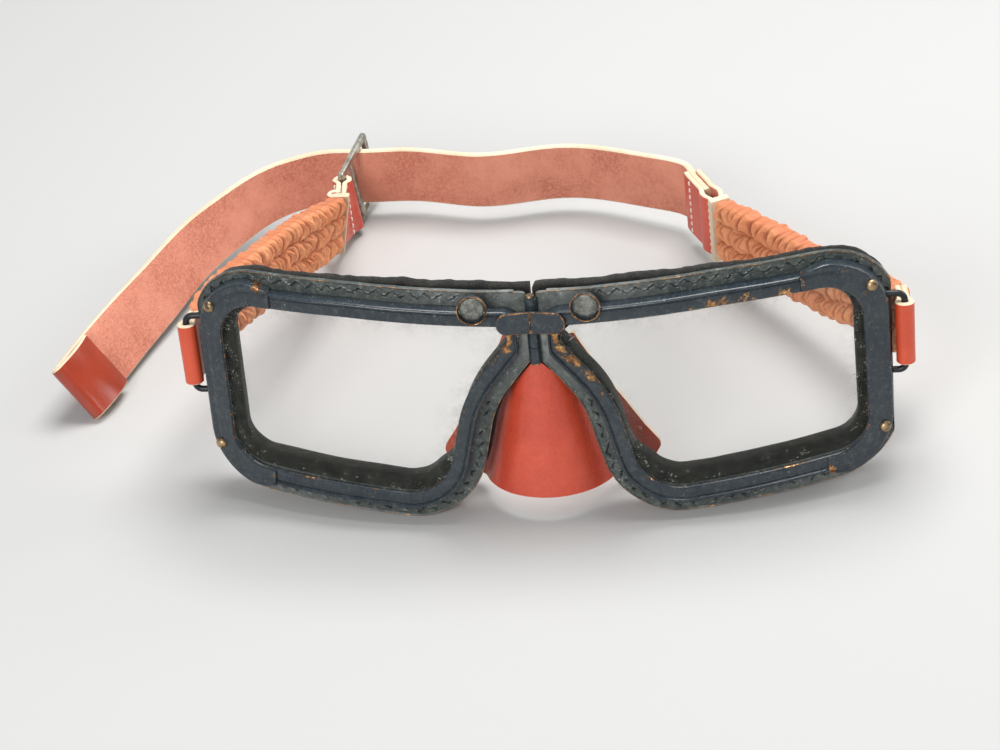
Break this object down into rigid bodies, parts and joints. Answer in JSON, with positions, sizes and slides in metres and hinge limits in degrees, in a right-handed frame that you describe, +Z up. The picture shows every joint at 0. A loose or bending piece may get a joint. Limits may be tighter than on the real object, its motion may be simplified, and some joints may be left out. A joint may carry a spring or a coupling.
{
  "type": "flying goggles",
  "caption": "Two-lens flying goggles: hinged metal frames with velvet pads and a nose guard, on ruched spring sleeves and a leather head strap.",
  "frame": {"origin": "on the floor, in the plane of the bridge hinge, just behind the lenses' front", "axes": "+X to the wearer's left, +Y from the lenses to the back of the head, +Z up"},
  "size_m": [0.2505, 0.1713, 0.0704],
  "materials": {
    "slate_paint": "satin paint worn to brass at the edges",
    "lens_glass": "clear, dusty at the edges",
    "velvet": "black pile",
    "worn_brass": "dull and tarnished",
    "black_wire": "satin",
    "red_leather": "smooth grain",
    "tan_leather": "gathered thin hide",
    "strap_leather": "grain outside, suede inside",
    "dull_steel": "dull plated",
    "spring_steel": "bright"
  },
  "bodies": {
    "bridge": {"hinge_pin": "worn_brass", "nose_guard": "red_leather"},
    "left_frame": {"left_rim": "slate_paint", "left_lens": "lens_glass", "left_mask_frame": "slate_paint", "left_pad": "velvet", "left_stop_plate": "slate_paint", "left_stud_ring": "worn_brass", "left_stud_button": "slate_paint", "left_end_clip": "slate_paint", "left_clip_screws": "worn_brass", "left_bail": "black_wire"},
    "left_strap_side": {"left_strap_end": "red_leather", "left_sleeve": "tan_leather", "left_springs": "spring_steel"},
    "right_frame": {"right_rim": "slate_paint", "right_lens": "lens_glass", "right_mask_frame": "slate_paint", "right_pad": "velvet", "right_stop_plate": "slate_paint", "right_stud_ring": "worn_brass", "right_stud_button": "slate_paint", "right_end_clip": "slate_paint", "right_clip_screws": "worn_brass", "right_bail": "black_wire"},
    "right_strap_side": {"right_strap_end": "red_leather", "right_sleeve": "tan_leather", "right_springs": "spring_steel"},
    "buckle_end": {"buckle": "dull_steel", "buckle_tab": "red_leather"},
    "rear": {"rear_strap": "strap_leather", "join_tab": "red_leather"}
  },
  "joints": [
    {"name": "left_fold", "type": "hinge", "parent": "bridge", "child": "left_frame", "pos_m": [0, -0.00113, 0.00531], "axis": [0, -0.1392, -0.9903], "range_deg": [0, 8]},
    {"name": "right_fold", "type": "hinge", "parent": "bridge", "child": "right_frame", "pos_m": [0, -0.00113, 0.00531], "axis": [0, 0.1392, 0.9903], "range_deg": [0, 8]},
    {"name": "left_strap_turn", "type": "hinge", "parent": "left_frame", "child": "left_strap_side", "pos_m": [-0.0975, 0.01731, 0.03907], "axis": [0, 0.1392, 0.9903], "range_deg": [0, 8]},
    {"name": "right_strap_turn", "type": "hinge", "parent": "right_frame", "child": "right_strap_side", "pos_m": [0.0975, 0.01731, 0.03907], "axis": [0, -0.1392, -0.9903], "range_deg": [0, 8]},
    {"name": "left_stretch", "type": "slide", "parent": "left_strap_side", "child": "buckle_end", "axis": [0, 1, 0], "range_m": [0, 0.02], "stiffness_N_per_m": 60, "deforming": ["left_sleeve", "left_springs"]},
    {"name": "right_stretch", "type": "slide", "parent": "right_strap_side", "child": "rear", "axis": [0, 1, 0], "range_m": [0, 0.02], "stiffness_N_per_m": 60, "deforming": ["right_sleeve", "right_springs"]}
  ],
  "couplings": [
    {"joint": "right_fold", "follows": "left_fold", "ratio": 1},
    {"joint": "left_strap_turn", "follows": "left_fold", "ratio": 1},
    {"joint": "right_strap_turn", "follows": "left_fold", "ratio": 1},
    {"joint": "right_stretch", "follows": "left_stretch", "ratio": 1}
  ]
}
